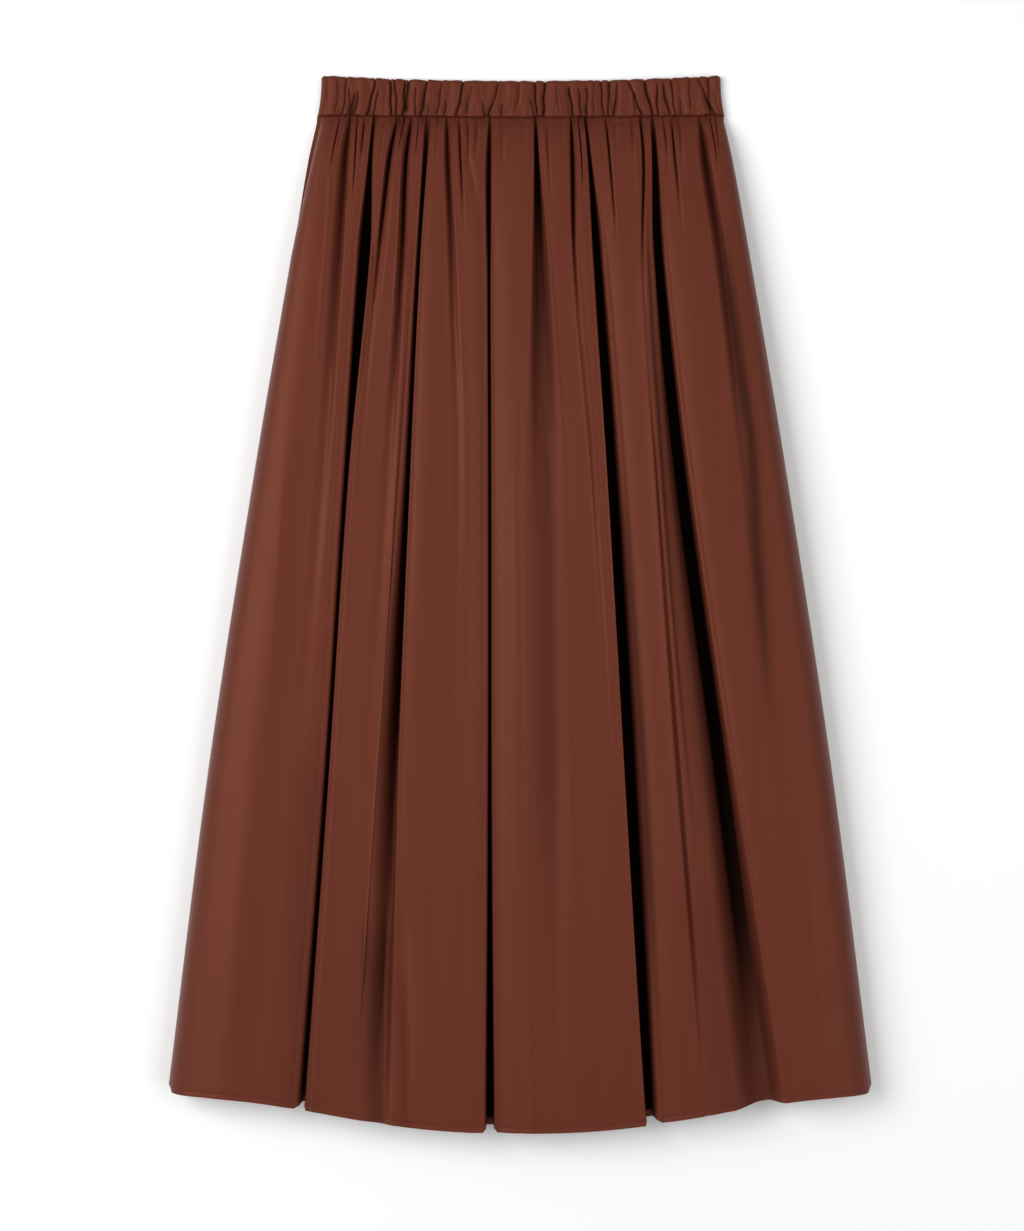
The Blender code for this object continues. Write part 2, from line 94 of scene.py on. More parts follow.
# Folds of the front: heights of the lips, steps down the walls, and at each of the drops the place
# across, the depth, how far the left and the right lip are from it, and half the width of the floor
Fold = namedtuple("Fold", "name lips steps centre depth left right floor")
DEEP = (0.0, 0.35, 0.65, 0.87, 1.0)
SOFT = (0.0,)
FOLDS = (
    Fold("side soft", (1.0, 1.0), SOFT,
         centre=(-0.143, -0.146, -0.151, -0.163, -0.185, -0.210),
         depth=(0.50, 0.44, 0.26, 0.06, 0.0, 0.0),
         left=(0.0030, 0.0060, 0.0075, 0.0070, 0.0080, 0.0100),
         right=(0.0020, 0.0030, 0.0040, 0.0045, 0.0060, 0.0100),
         floor=(0.0006, 0.0010, 0.0010, 0.0010, 0.0010, 0.0010)),
    Fold("left slot", (0.98, 0.98), DEEP,
         centre=(-0.123, -0.1255, -0.1305, -0.144, -0.160, -0.180),
         depth=(0.50, 0.66, 1.0, 1.0, 1.0, 1.0),
         left=(0.0018, 0.0024, 0.0064, 0.0044, 0.0060, 0.0080),
         right=(0.0016, 0.0022, 0.0056, 0.0022, 0.0014, 0.0020),
         floor=(0.0008, 0.0010, 0.0042, 0.0011, 0.0005, 0.0006)),
    Fold("left branch", (1.0, 1.0), SOFT,
         centre=(-0.104, -0.110, -0.119, -0.134, -0.150, -0.168),
         depth=(0.50, 0.56, 0.12, 0.0, 0.0, 0.0),
         left=(0.0020, 0.0030, 0.0016, 0.0020, 0.0020, 0.0020),
         right=(0.0020, 0.0030, 0.0030, 0.0030, 0.0030, 0.0030),
         floor=(0.0006, 0.0010, 0.0006, 0.0006, 0.0006, 0.0006)),
    Fold("left middle", (1.0, 1.0), SOFT,
         centre=(-0.092, -0.096, -0.099, -0.110, -0.128, -0.148),
         depth=(0.50, 0.52, 0.26, 0.06, 0.0, 0.0),
         left=(0.0024, 0.0034, 0.0045, 0.0060, 0.0070, 0.0070),
         right=(0.0024, 0.0030, 0.0034, 0.0050, 0.0060, 0.0060),
         floor=(0.0006, 0.0010, 0.0010, 0.0010, 0.0010, 0.0010)),
    Fold("left inner slot", (0.95, 1.0), DEEP,
         centre=(-0.078, -0.080, -0.085, -0.093, -0.104, -0.117),
         depth=(0.45, 0.62, 0.80, 0.95, 0.46, 0.04),
         left=(0.0032, 0.0026, 0.0026, 0.0060, 0.0170, 0.0160),
         right=(0.0032, 0.0024, 0.0016, 0.0014, 0.0024, 0.0100),
         floor=(0.0008, 0.0010, 0.0006, 0.0006, 0.0008, 0.0030)),
    Fold("middle soft", (1.0, 1.0), SOFT,
         centre=(-0.062, -0.061, -0.057, -0.052, -0.058, -0.062),
         depth=(0.45, 0.38, 0.16, 0.03, 0.0, 0.0),
         left=(0.0024, 0.0034, 0.0040, 0.0050, 0.0060, 0.0060),
         right=(0.0024, 0.0034, 0.0040, 0.0050, 0.0060, 0.0060),
         floor=(0.0006, 0.0010, 0.0010, 0.0010, 0.0010, 0.0010)),
    Fold("middle slot", (0.96, 0.86), DEEP,
         centre=(-0.026, -0.026, -0.0265, -0.026, -0.026, -0.026),
         depth=(0.48, 0.58, 1.0, 1.0, 1.0, 1.0),
         left=(0.0016, 0.0040, 0.0028, 0.0024, 0.0030, 0.0056),
         right=(0.0016, 0.0016, 0.0018, 0.0018, 0.0026, 0.0064),
         floor=(0.0006, 0.0008, 0.0007, 0.0005, 0.0006, 0.0022)),
    Fold("middle wide", (0.94, 0.94), DEEP,
         centre=(0.012, 0.013, 0.015, 0.019, 0.023, 0.026),
         depth=(0.50, 0.70, 0.46, 0.12, 0.10, 0.0),
         left=(0.0018, 0.0026, 0.0060, 0.0140, 0.0160, 0.0160),
         right=(0.0018, 0.0030, 0.0090, 0.0170, 0.0180, 0.0160),
         floor=(0.0008, 0.0014, 0.0020, 0.0030, 0.0030, 0.0030)),
    Fold("right lip", (1.0, 1.0), SOFT,
         centre=(0.042, 0.043, 0.0445, 0.0600, 0.0770, 0.0940),
         depth=(0.50, 0.54, 0.12, 0.05, 0.0, 0.0),
         left=(0.0016, 0.0030, 0.0018, 0.0016, 0.0020, 0.0020),
         right=(0.0016, 0.0028, 0.0022, 0.0016, 0.0020, 0.0020),
         floor=(0.0006, 0.0010, 0.0006, 0.0006, 0.0006, 0.0006)),
    Fold("right slot", (1.0, 0.90), DEEP,
         centre=(0.054, 0.057, 0.063, 0.074, 0.089, 0.106),
         depth=(0.48, 0.66, 1.0, 1.0, 1.0, 1.0),
         left=(0.0016, 0.0018, 0.0034, 0.0026, 0.0026, 0.0030),
         right=(0.0016, 0.0024, 0.0074, 0.0110, 0.0140, 0.0110),
         floor=(0.0006, 0.0010, 0.0026, 0.0042, 0.0050, 0.0022)),
    Fold("right crease", (1.0, 0.90), SOFT,
         centre=(0.100, 0.102, 0.101, 0.112, 0.131, 0.154),
         depth=(0.50, 0.40, 0.06, 0.05, 0.12, 0.02),
         left=(0.0016, 0.0018, 0.0012, 0.0012, 0.0022, 0.0030),
         right=(0.0016, 0.0018, 0.0014, 0.0014, 0.0024, 0.0030),
         floor=(0.0006, 0.0008, 0.0005, 0.0005, 0.0008, 0.0008)),
    Fold("right soft slot", (0.90, 0.98), DEEP,
         centre=(0.110, 0.1115, 0.115, 0.133, 0.168, 0.202),
         depth=(0.50, 0.72, 1.0, 1.0, 0.95, 0.36),
         left=(0.0022, 0.0030, 0.0060, 0.0150, 0.0240, 0.0250),
         right=(0.0022, 0.0034, 0.0050, 0.0070, 0.0090, 0.0170),
         floor=(0.0008, 0.0014, 0.0030, 0.0034, 0.0036, 0.0050)),
    Fold("far right", (1.0, 1.0), SOFT,
         centre=(0.150, 0.154, 0.166, 0.186, 0.214, 0.244),
         depth=(0.50, 0.52, 0.24, 0.08, 0.0, 0.0),
         left=(0.0030, 0.0060, 0.0060, 0.0060, 0.0070, 0.0070),
         right=(0.0030, 0.0050, 0.0060, 0.0060, 0.0070, 0.0070),
         floor=(0.0006, 0.0012, 0.0012, 0.0010, 0.0010, 0.0010)),
)

# Short gathers between the folds: the place on the waist seam, how far down it runs, and its depth
Gather = namedtuple("Gather", "seam reach depth")
GATHERED = 0.42
CREST_ENDS = (0.22, 0.80)
GATHERS = tuple(Gather(*row) for row in (
    (-0.1590, 0.030, 0.10),
    (-0.1515, 0.055, 0.45),
    (-0.1385, 0.080, 0.50),
    (-0.1305, 0.045, 0.60),
    (-0.1130, 0.050, 0.15),
    (-0.0985, 0.030, 0.50),
    (-0.0855, 0.040, 0.35),
    (-0.0700, 0.045, 0.12),
    (-0.0535, 0.095, 0.60),
    (-0.0450, 0.040, 0.45),
    (-0.0365, 0.035, 0.45),
    (-0.0165, 0.045, 0.25),
    (-0.0070, 0.030, 0.08),
    (0.0045, 0.030, 0.20),
    (0.0205, 0.070, 0.30),
    (0.0290, 0.030, 0.08),
    (0.0360, 0.030, 0.15),
    (0.0480, 0.070, 0.60),
    (0.0640, 0.030, 0.12),
    (0.0705, 0.110, 0.65),
    (0.0785, 0.030, 0.20),
    (0.0870, 0.030, 0.06),
    (0.0940, 0.040, 0.30),
    (0.1180, 0.045, 0.50),
    (0.1255, 0.100, 0.60),
    (0.1330, 0.045, 0.30),
    (0.1420, 0.030, 0.06),
    (0.1575, 0.050, 0.50),
    (0.1640, 0.035, 0.40),
))

# Pressed folds of the back: the place at the seam and at the hem, and the width
BackFold = namedtuple("BackFold", "seam hem width")
BACK_FOLDS = (
    BackFold(-0.150, -0.240, 0.0045),
    BackFold(-0.100, -0.150, 0.0035),
    BackFold(-0.052, -0.070, 0.0050),
    BackFold(-0.007, 0.000, 0.0040),
    BackFold(0.033, 0.065, 0.0035),
    BackFold(0.082, 0.136, 0.0045),
    BackFold(0.135, 0.240, 0.0040),
)
BACK_RISE = (0.0008, 0.0016, 0.0050, 0.0090, 0.0090, 0.0080)
# One side of a back fold from its foot up, and the two gathers before it
BACK_SIDE = ((1.5, 0.0), (1.1, 0.0), (0.85, 0.05), (0.72, 0.40), (0.66, 0.85), (0.5, 1.0))
BACK_GATHERS = ((0.2, 0.0), (0.3, 1.0), (0.4, 0.0), (0.6, 0.0), (0.68, 0.8), (0.76, 0.0))
BACK_GATHER_RISE = 0.0011

# Fine creases pressed into the front: the path as places across and drops, how wide each flank is,
# and the height, which is below zero for a furrow
Crease = namedtuple("Crease", "name across drops left right height")
CREASES = tuple(Crease(*row) for row in (
    ("left thin", (-0.158, -0.161, -0.165, -0.170, -0.173),
     (0.020, 0.100, 0.151, 0.218, 0.260), 0.0012, 0.0035, 0.0009),
    ("left panel edge", (-0.196, -0.203, -0.211), (0.28, 0.42, 0.54), 0.010, 0.012, 0.0014),
    ("branch thin", (-0.105, -0.109, -0.115, -0.119),
     (0.050, 0.100, 0.151, 0.190), 0.0012, 0.0030, 0.0008),
    ("middle slant", (-0.052, -0.045, -0.0364, -0.0290),
     (0.002, 0.030, 0.067, 0.100), 0.0030, 0.0012, -0.0016),
    ("middle lip", (-0.033, -0.0335, -0.034, -0.034, -0.035),
     (0.10, 0.25, 0.45, 0.65, 0.83), 0.0050, 0.0016, 0.0008),
    ("middle long", (0.044, 0.050, 0.060, 0.070, 0.081),
     (0.10, 0.20, 0.30, 0.45, 0.60), 0.0016, 0.0040, 0.0010),
    ("right long", (0.099, 0.104, 0.112, 0.121, 0.131, 0.145),
     (0.07, 0.18, 0.30, 0.43, 0.56, 0.76), 0.0050, 0.0014, 0.0013),
    ("far right thin", (0.170, 0.178, 0.189, 0.200), (0.10, 0.20, 0.32, 0.44), 0.0014, 0.0040, 0.0009),
    ("hem tongue left", (-0.112, -0.113, -0.110), (0.66, 0.74, 0.84), 0.0150, 0.0040, -0.0058),
    ("hem tongue right", (-0.098, -0.094, -0.091), (0.66, 0.74, 0.83), 0.0080, 0.0036, -0.0034),
    ("hem left", (-0.232, -0.238), (0.60, 0.80), 0.016, 0.020, 0.0012),
    ("hem centre", (0.066, 0.070), (0.52, 0.82), 0.018, 0.010, 0.0014),
    ("centre soft", (-0.006, -0.004, -0.003), (0.20, 0.45, 0.75), 0.010, 0.016, 0.0012),
    ("tack", (0.0950, 0.0955), (0.010, 0.022), 0.0012, 0.0012, -0.0012),
    ("below tack", (0.0955, 0.0975, 0.0995), (0.020, 0.045, 0.080), 0.0040, 0.0010, 0.0010),
))

# Soft shades along the front, which are colour and not shape: the path, the reach to the left and to
# the right, and the strength
Shade = namedtuple("Shade", "name across drops left right strength")
SHADES = tuple(Shade(*row) for row in (
    ("middle wide", (0.014, 0.020, 0.0215, 0.023, 0.026),
     (0.05, 0.14, 0.31, 0.52, 0.74), 0.0095, 0.0105, 0.34),
    ("far right", (0.161, 0.1672, 0.1840, 0.1900, 0.1940, 0.2085),
     (0.05, 0.11, 0.24, 0.28, 0.36, 0.56), 0.0062, 0.0058, 0.72),
    ("beside the left slot", (-0.170, -0.180, -0.184), (0.50, 0.68, 0.84), 0.0160, 0.0200, 0.20),
    ("tongue left", (-0.117, -0.1205, -0.1165), (0.66, 0.77, 0.84), 0.0110, 0.0055, 0.42),
    ("tongue right", (-0.098, -0.096), (0.70, 0.84), 0.0050, 0.0040, 0.24),
    ("hem right", (0.140, 0.172), (0.62, 0.84), 0.0160, 0.0180, 0.16),
    ("left of the soft slot", (0.106, 0.1185, 0.1344, 0.1529, 0.168),
     (0.10, 0.28, 0.41, 0.57, 0.70), 0.0070, 0.0055, 0.32),
    ("right of the right slot", (0.0800, 0.0907, 0.0966, 0.1025, 0.1080, 0.1145),
     (0.26, 0.41, 0.49, 0.58, 0.70, 0.81), 0.0040, 0.0042, 0.58),
))

# Creases of the waistband: where each is at the top edge and at the waist seam, how deep, and over
# which part of the way down
Ruche = namedtuple("Ruche", "top seam depth begins ends")
RUCHES = tuple(Ruche(*row) for row in (
    (-0.1533, -0.1533, 0.7, 0.10, 0.90),
    (-0.1466, -0.1472, 0.8, 0.00, 0.95),
    (-0.1440, -0.1420, 0.9, 0.25, 1.00),
    (-0.1395, -0.1407, 0.8, 0.45, 1.00),
    (-0.1350, -0.1373, 0.8, 0.35, 1.00),
    (-0.1223, -0.1273, 1.3, 0.00, 1.00),
    (-0.1181, -0.1223, 1.0, 0.30, 1.00),
    (-0.1097, -0.1072, 1.4, 0.00, 1.00),
    (-0.1055, -0.1022, 1.2, 0.00, 1.00),
    (-0.0975, -0.0975, 1.3, 0.05, 0.95),
    (-0.0950, -0.0963, 1.1, 0.00, 0.80),
    (-0.0888, -0.0871, 0.9, 0.20, 1.00),
    (-0.0787, -0.0821, 1.2, 0.00, 1.00),
    (-0.0770, -0.0765, 0.8, 0.65, 1.00),
    (-0.0662, -0.0695, 0.9, 0.00, 0.90),
    (-0.0628, -0.0628, 0.9, 0.55, 1.00),
    (-0.0486, -0.0536, 1.3, 0.00, 1.00),
    (-0.0410, -0.0452, 0.6, 0.10, 0.85),
    (-0.0330, -0.0301, 0.8, 0.60, 1.00),
    (-0.0184, -0.0268, 1.2, 0.05, 1.00),
    (-0.0167, -0.0151, 0.7, 0.60, 1.00),
    (-0.0008, -0.0050, 0.6, 0.00, 0.75),
    (0.0059, 0.0109, 0.7, 0.50, 1.00),
    (0.0117, 0.0134, 1.3, 0.00, 1.00),
    (0.0201, 0.0184, 1.3, 0.00, 1.00),
    (0.0301, 0.0301, 0.6, 0.10, 0.60),
    (0.0402, 0.0435, 1.2, 0.15, 1.00),
    (0.0477, 0.0494, 1.1, 0.20, 1.00),
    (0.0553, 0.0544, 0.9, 0.15, 1.00),
    (0.0611, 0.0600, 0.7, 0.00, 0.90),
    (0.0670, 0.0678, 1.0, 0.00, 1.00),
    (0.0745, 0.0720, 1.1, 0.00, 1.00),
    (0.0812, 0.0762, 1.0, 0.05, 0.95),
    (0.0904, 0.0997, 1.1, 0.05, 1.00),
    (0.0946, 0.0940, 0.8, 0.40, 1.00),
    (0.1030, 0.1089, 1.2, 0.00, 1.00),
    (0.1139, 0.1122, 1.2, 0.10, 1.00),
    (0.1181, 0.1223, 1.0, 0.10, 1.00),
    (0.1256, 0.1273, 1.0, 0.00, 1.00),
    (0.1330, 0.1320, 0.6, 0.50, 1.00),
    (0.1415, 0.1400, 0.7, 0.00, 0.70),
    (0.1491, 0.1600, 1.0, 0.00, 1.00),
    (0.1566, 0.1558, 0.9, 0.00, 1.00),
    (0.1610, 0.1640, 0.6, 0.40, 1.00),
))

# How finely the cloth is drawn
PIECES_BETWEEN = 3
FRONT_ROWS = np.concatenate([
    np.array([-0.0030, -0.0016, -0.0006]),
    np.arange(0.0, 0.020, 0.0018),
    np.arange(0.020, 0.060, 0.0045),
    np.arange(0.060, 0.160, 0.0110),
    np.arange(0.160, HEM_DROP - 0.012, 0.0230),
    HEM_DROP - np.array([0.0070, 0.0052, 0.0042, 0.0036, 0.0030, 0.0018, 0.0]),
])
BACK_ROWS = np.concatenate([
    np.arange(-0.0004, 0.060, 0.0050),
    np.arange(0.065, HEM_DROP - 0.012, 0.020),
    HEM_DROP - np.array([0.0052, 0.0042, 0.0036, 0.0030, 0.0]),
])
BAND_COLUMNS = 900
BAND_ROWS = np.linspace(0.0, 1.0, 27)
BAND_ROLL = 7
SMOOTH_ANGLE = 0.9

# The waistband's face: its flare to the seam, its crests, foot and lowest wall, how its ends round off,
# the share of the way down from which it tucks into the seam, and its ruches
BAND_FLARE = 0.020
BAND_CREST = 0.0074
BAND_FOOT = 0.0016
BAND_LOWEST = 0.0014
BAND_ROUND = 0.0040
BAND_CALM = 0.006
BAND_TUCK = 0.955
RUCHE_SEED = 3
SMALL_RUCHES = 70

# The hem: how its corners round in and up, over which reach, its swell and the seat of its stitches
CORNER_IN, CORNER_UP = 0.0026, 0.0016
CORNER_REACH = (0.0030, 0.0052)
HEM_SWELL = 0.00035
STITCH_SEAT = 0.00030
STITCH_SEAT_WIDTH = 0.0008

# A stitch: its share of the pitch, half its width and height, and how proud it stands
STITCH_SHARE = 0.40
STITCH_HALF = (0.00022, 0.00020)
STITCH_PROUD = 0.00004

# The cut of each piece as (width at its widest, length), and the width of a panel's top edge
FRONT_CUT = (0.900, 0.850)
FRONT_CUT_TOP = 0.720
BACK_CUT = (0.720, 0.850)
BACK_CUT_TOP = 0.500
BAND_CUT = (0.380, 0.038)

# The photograph's framing: its size in pixels, the size of a pixel at the surface, and the pixel
# that the origin falls on
PHOTO = (1024, 1231)
PHOTO_PIXEL = 0.00084
PHOTO_ORIGIN = (521.0, 600.3)


class ClothSettings(bpy.types.PropertyGroup):
    colour: FloatVectorProperty(
        name="Colour", description="Colour of the taffeta", subtype="COLOR", size=3,
        min=0.0, max=1.0, default=(0.116, 0.0260, 0.0146))
    shade: FloatVectorProperty(
        name="Shade", description="Colour of the taffeta's darker threads", subtype="COLOR", size=3,
        min=0.0, max=1.0, default=(0.084, 0.0182, 0.0102))
    # Painted shade: the near-black colour that is mixed into the taffeta deep in its folds and creases
    painted_shade: FloatVectorProperty(
        name="Hollow", description="Colour of the taffeta down in its folds", subtype="COLOR", size=3,
        min=0.0, max=1.0, default=(0.0060, 0.0018, 0.0010))
    thread: FloatVectorProperty(
        name="Thread", description="Colour of the sewing thread", subtype="COLOR", size=3,
        min=0.0, max=1.0, default=(0.100, 0.029, 0.020))
    roughness: FloatProperty(
        name="Roughness", description="How dull the cloth is", min=0.05, max=1.0, default=0.46)
    thickness: FloatProperty(
        name="Thickness", description="Thickness of the cloth", unit="LENGTH", default=0.0006)
    thread_spacing: FloatProperty(
        name="Thread spacing", description="From one thread of the weave to the next", unit="LENGTH",
        default=0.00042)
    ruche_depth: FloatProperty(
        name="Ruche depth", description="Depth of the waistband's deepest creases", unit="LENGTH",
        default=0.0022)
    stitch_length: FloatProperty(
        name="Stitch length", description="Length of a stitch along the hem", unit="LENGTH",
        default=0.0026)
    hem_depth: FloatProperty(
        name="Hem depth", description="From the hem's edge up to its stitches", unit="LENGTH",
        default=0.0036)


class StageSettings(bpy.types.PropertyGroup):
    floor: FloatVectorProperty(
        name="Floor", description="Colour of the floor", subtype="COLOR", size=3,
        min=0.0, max=1.0, default=(0.90, 0.90, 0.90))
    key: FloatProperty(
        name="Key light", description="Power of the large light on the left", unit="POWER",
        default=47.0)
    fill: FloatProperty(
        name="Fill light", description="Power of the light on the right", unit="POWER", default=24.0)
    sky: FloatProperty(
        name="Sky", description="Strength of the even light all round", default=0.38)
    distance: FloatProperty(
        name="Distance", description="Height of the camera over the surface", unit="LENGTH",
        default=2.2)


class Value:
    """A number or colour that a shader works out at each point, for use in plain sums."""

    def __init__(self, graph, socket):
        self.graph = graph
        self.socket = socket

    def sum(self, operation, first, second=0.0):
        return self.graph.node("ShaderNodeMath", {"operation": operation}, {0: first, 1: second})[0]

    def __add__(self, other):
        return self.sum("ADD", self, other)

    __radd__ = __add__

    def __sub__(self, other):
        return self.sum("SUBTRACT", self, other)

    def __rsub__(self, other):
        return self.sum("SUBTRACT", other, self)

    def __mul__(self, other):
        return self.sum("MULTIPLY", self, other)

    __rmul__ = __mul__

    def sine(self):
        return self.sum("SINE", self)


class Graph:
    """The nodes of one material."""

    def __init__(self, name):
        self.material = bpy.data.materials.new(name)
        self.material.use_nodes = True
        self.tree = self.material.node_tree
        self.tree.nodes.clear()

    def node(self, kind, settings=None, sockets=None):
        """Adds a node with its settings and the values or links of its sockets, and gives its outputs."""
        made = self.tree.nodes.new(kind)
        for name, value in (settings or {}).items():
            setattr(made, name, value)
        for name, value in (sockets or {}).items():
            if isinstance(value, Value):
                self.tree.links.new(value.socket, made.inputs[name])
            else:
                made.inputs[name].default_value = value
        return [Value(self, output) for output in made.outputs]

    def stretched(self, place, scale):
        """The same places, counted in steps of another size along each axis."""
        return self.node("ShaderNodeMapping", None, {"Vector": place, "Scale": scale})[0]

    def noise(self, place, scale, detail):
        """Soft noise of this fineness."""
        sockets = {"Vector": place, "Scale": scale, "Detail": detail}
        return self.node("ShaderNodeTexNoise", None, sockets)[0]

    def mixed(self, share, first, second):
        """Two colours mixed by a share from 0 to 1."""
        found = self.node("ShaderNodeMix", {"data_type": "RGBA"}, {0: share, 6: first, 7: second})
        return found[2]

    def finish(self, sockets):
        """Ends the material in one shader with these sockets."""
        shader = self.node("ShaderNodeBsdfPrincipled", None, sockets)[0]
        self.node("ShaderNodeOutputMaterial", None, {"Surface": shader})
        return self.material


def taffeta(settings):
    """Crisp plain-woven cloth with a soft sheen, fine ribs across it and a faint papery crumple."""
    graph = Graph("brown_taffeta")
    cut = graph.node("ShaderNodeUVMap", {"uv_map": "cut"})[0]
    across, down, _ = graph.node("ShaderNodeSeparateXYZ", None, {0: cut})
    turn = 2 * pi / settings.thread_spacing
    threads = (across * turn).sine() * (down * turn).sine()
    place = graph.node("ShaderNodeTexCoord")[3]
    slubs = graph.noise(graph.stretched(cut, (60.0, 1900.0, 1.0)), 1.0, 2.0)
    streaks = graph.noise(graph.stretched(place, (160.0, 7.0, 160.0)), 1.0, 3.0)
    crumple = graph.noise(graph.stretched(place, (42.0, 20.0, 42.0)), 1.0, 4.0)
    tone = streaks * 0.45 + slubs * 0.35 + threads * 0.10 + 0.10
    lit = graph.mixed(tone, (*settings.colour, 1.0), (*settings.shade, 1.0))
    # Painted shade from each sheet's attribute: near-black mixed into the base colour, and the cloth made
    # duller there
    painted_shade = graph.node("ShaderNodeAttribute", {"attribute_name": "painted_shade"})[2]
    colour = graph.mixed(painted_shade, lit, (*settings.painted_shade, 1.0))
    worn = graph.node("ShaderNodeBump", None, {"Strength": 0.5, "Distance": 0.0005, "Height": crumple})[0]
    woven = graph.node("ShaderNodeBump", None, {
        "Strength": 0.35, "Distance": 0.00008, "Height": threads * 0.5 + slubs * 0.9, "Normal": worn})[0]
    return graph.finish({
        "Base Color": colour,
        "Roughness": settings.roughness + (crumple - 0.5) * 0.14 + (slubs - 0.5) * 0.10 + painted_shade * 0.40,
        "Specular IOR Level": 0.30,
        "Specular Tint": (0.95, 0.42, 0.28, 1.0),
        "Normal": woven,
    })


def thread_material(settings):
    """Twisted sewing thread."""
    graph = Graph("thread")
    place = graph.node("ShaderNodeTexCoord")[3]
    twist = graph.noise(place, 2600.0, 1.0)
    dark = tuple(part * 0.6 for part in settings.thread)
    colour = graph.mixed(twist, (*settings.thread, 1.0), (*dark, 1.0))
    bump = graph.node("ShaderNodeBump", None, {"Strength": 0.5, "Distance": 0.0001, "Height": twist})[0]
    return graph.finish({"Base Color": colour, "Roughness": 0.5, "Normal": bump})


def floor_material(settings):
    """Plain pale card."""
    graph = Graph("pale_floor")
    place = graph.node("ShaderNodeTexCoord")[3]
    grain = graph.noise(place, 900.0, 2.0)
    shade = tuple(part * 0.97 for part in settings.floor)
    colour = graph.mixed(grain, (*settings.floor, 1.0), (*shade, 1.0))
    return graph.finish({"Base Color": colour, "Roughness": 0.9, "Specular IOR Level": 0.1})


def share(value):
    return min(1.0, max(0.0, value))


def eased(value):
    """From 0 to 1 with a soft start and end."""
    value = np.clip(value, 0.0, 1.0)
    return value * value * (3 - 2 * value)


def along(values, drop):
    """Reads a value that is stated at the six drops, on a smooth curve through them."""
    last = len(DROPS) - 2
    span = min(last, max(0, sum(drop >= d for d in DROPS) - 1))

    def slope(index):
        low, high = max(0, index - 1), min(len(DROPS) - 1, index + 1)
        return (values[high] - values[low]) / (DROPS[high] - DROPS[low])

    width = DROPS[span + 1] - DROPS[span]
    t = (drop - DROPS[span]) / width
    return (
        values[span] * (2 * t**3 - 3 * t**2 + 1)
        + slope(span) * width * (t**3 - 2 * t**2 + t)
        + values[span + 1] * (3 * t**2 - 2 * t**3)
        + slope(span + 1) * width * (t**3 - t**2)
    )


def dip(x, depth):
    """How far an edge of the waistband dips in its middle."""
    return depth * (1 - np.clip(np.abs(x) / BAND_HALF_WIDTH, 0.0, 1.0) ** 2)


def crown_at(drop):
    """Height of the folds' crests at one drop."""
    return SEAM_CROWN + PUFF * (1 - exp(-drop / PUFF_LENGTH)) + SWELL * (1 - exp(-drop / SWELL_LENGTH))


def wall_share(step, opened):
    """Height left at a step of the way from a fold's lip to its floor.

    At the waist seam it is an even double curve, and an opened fold rolls over its lip, then drops away.
    """
    even = 1 - step * step * (3 - 2 * step)
    rolled = 1 - step**4
    return even + (rolled - even) * opened


def fold_points(fold, drop):
    """Points (x, height, lift) across one fold, from its left lip to its right."""
    centre = along(fold.centre, drop)
    depth = share(along(fold.depth, drop))
    rise = crown_at(drop) - FLOOR
    floor = along(fold.floor, drop)
    low = FLOOR + rise * (1 - depth)
    opened = share(drop / DROPS[2])
    rolled = opened * depth * depth
    points = []
    for side, reach, lip in (
        (-1, along(fold.left, drop), fold.lips[0]),
        (1, along(fold.right, drop), fold.lips[1]),
    ):
        high = FLOOR + rise * (1 - (1 - lip) * depth * opened)
        run = [(centre + side * (reach + LIP_REST[0] + LIP_REST[1] * opened), high, 0.0)]
        run += [
            (centre + side * (reach + step * (floor - reach)),
             low + (high - low) * wall_share(step, rolled),
             FOLD_LIFT * depth * step)
            for step in fold.steps
        ]
        points.append(run if side < 0 else run[::-1])
    middle = [(centre, low, FOLD_LIFT * depth)] if fold.steps == SOFT else []
    return points[0] + middle + points[1]


def edge_points(side, drop):
    """Points where the front rounds down to a side seam, from the seam inwards."""
    if side < 0:
        edge = -along(HALF_WIDTH_LEFT, drop) + max(0.0, along(LEFT_TURN, drop))
    else:
        edge = along(HALF_WIDTH_RIGHT, drop)
    shoulder = along(SHOULDER, drop)
    rise = crown_at(drop) - FLOOR
    tucked = [(edge - side * SIDE_TUCK, WALL + SIDE_CLEAR, 0.0)]
    return tucked + [
        (edge - side * inset * shoulder, FLOOR + rise * height, 0.0)
        for inset, height in SHOULDER_CURVE
    ]


def panel_points(before, after, depths, seam_span, drop):
    """Points across the cloth between two folds: a valley at each gather, and a crest on each side.

    The cloth bulges towards a deep fold, and runs level into one that has flattened out.
    """
    (x_low, z_low, _), (x_high, z_high, _) = before, after
    seam_low, seam_high = seam_span
    gathers = [gather for gather in GATHERS if seam_low < gather.seam < seam_high]
    stops = [seam_low] + [gather.seam for gather in gathers] + [seam_high]
    spread = share(drop / DROPS[2])
    places = []
    for pair, (start, stop) in enumerate(zip(stops, stops[1:])):
        places += [(start + (stop - start) * end, pair + end, None) for end in CREST_ENDS]
        if pair < len(gathers):
            places.append((stop, pair + 1, gathers[pair]))
    points = []
    for place, order, gather in places if gathers else ():
        at_seam = (place - seam_low) / (seam_high - seam_low)
        even = order / (len(gathers) + 1)
        at = at_seam + (even - at_seam) * spread * (2 - spread)
        held = depths[0] + (depths[1] - depths[0]) * at
        bulge = PANEL_BULGE * (x_high - x_low) * 4 * at * (1 - at) * spread * held
        height = z_low + (z_high - z_low) * at + bulge
        if gather:
            fade = share(1 - drop / gather.reach)
            height -= (height - FLOOR) * GATHERED * gather.depth * fade * fade * (3 - 2 * fade)
        points.append((x_low + (x_high - x_low) * at, height, 0.0))
    return points


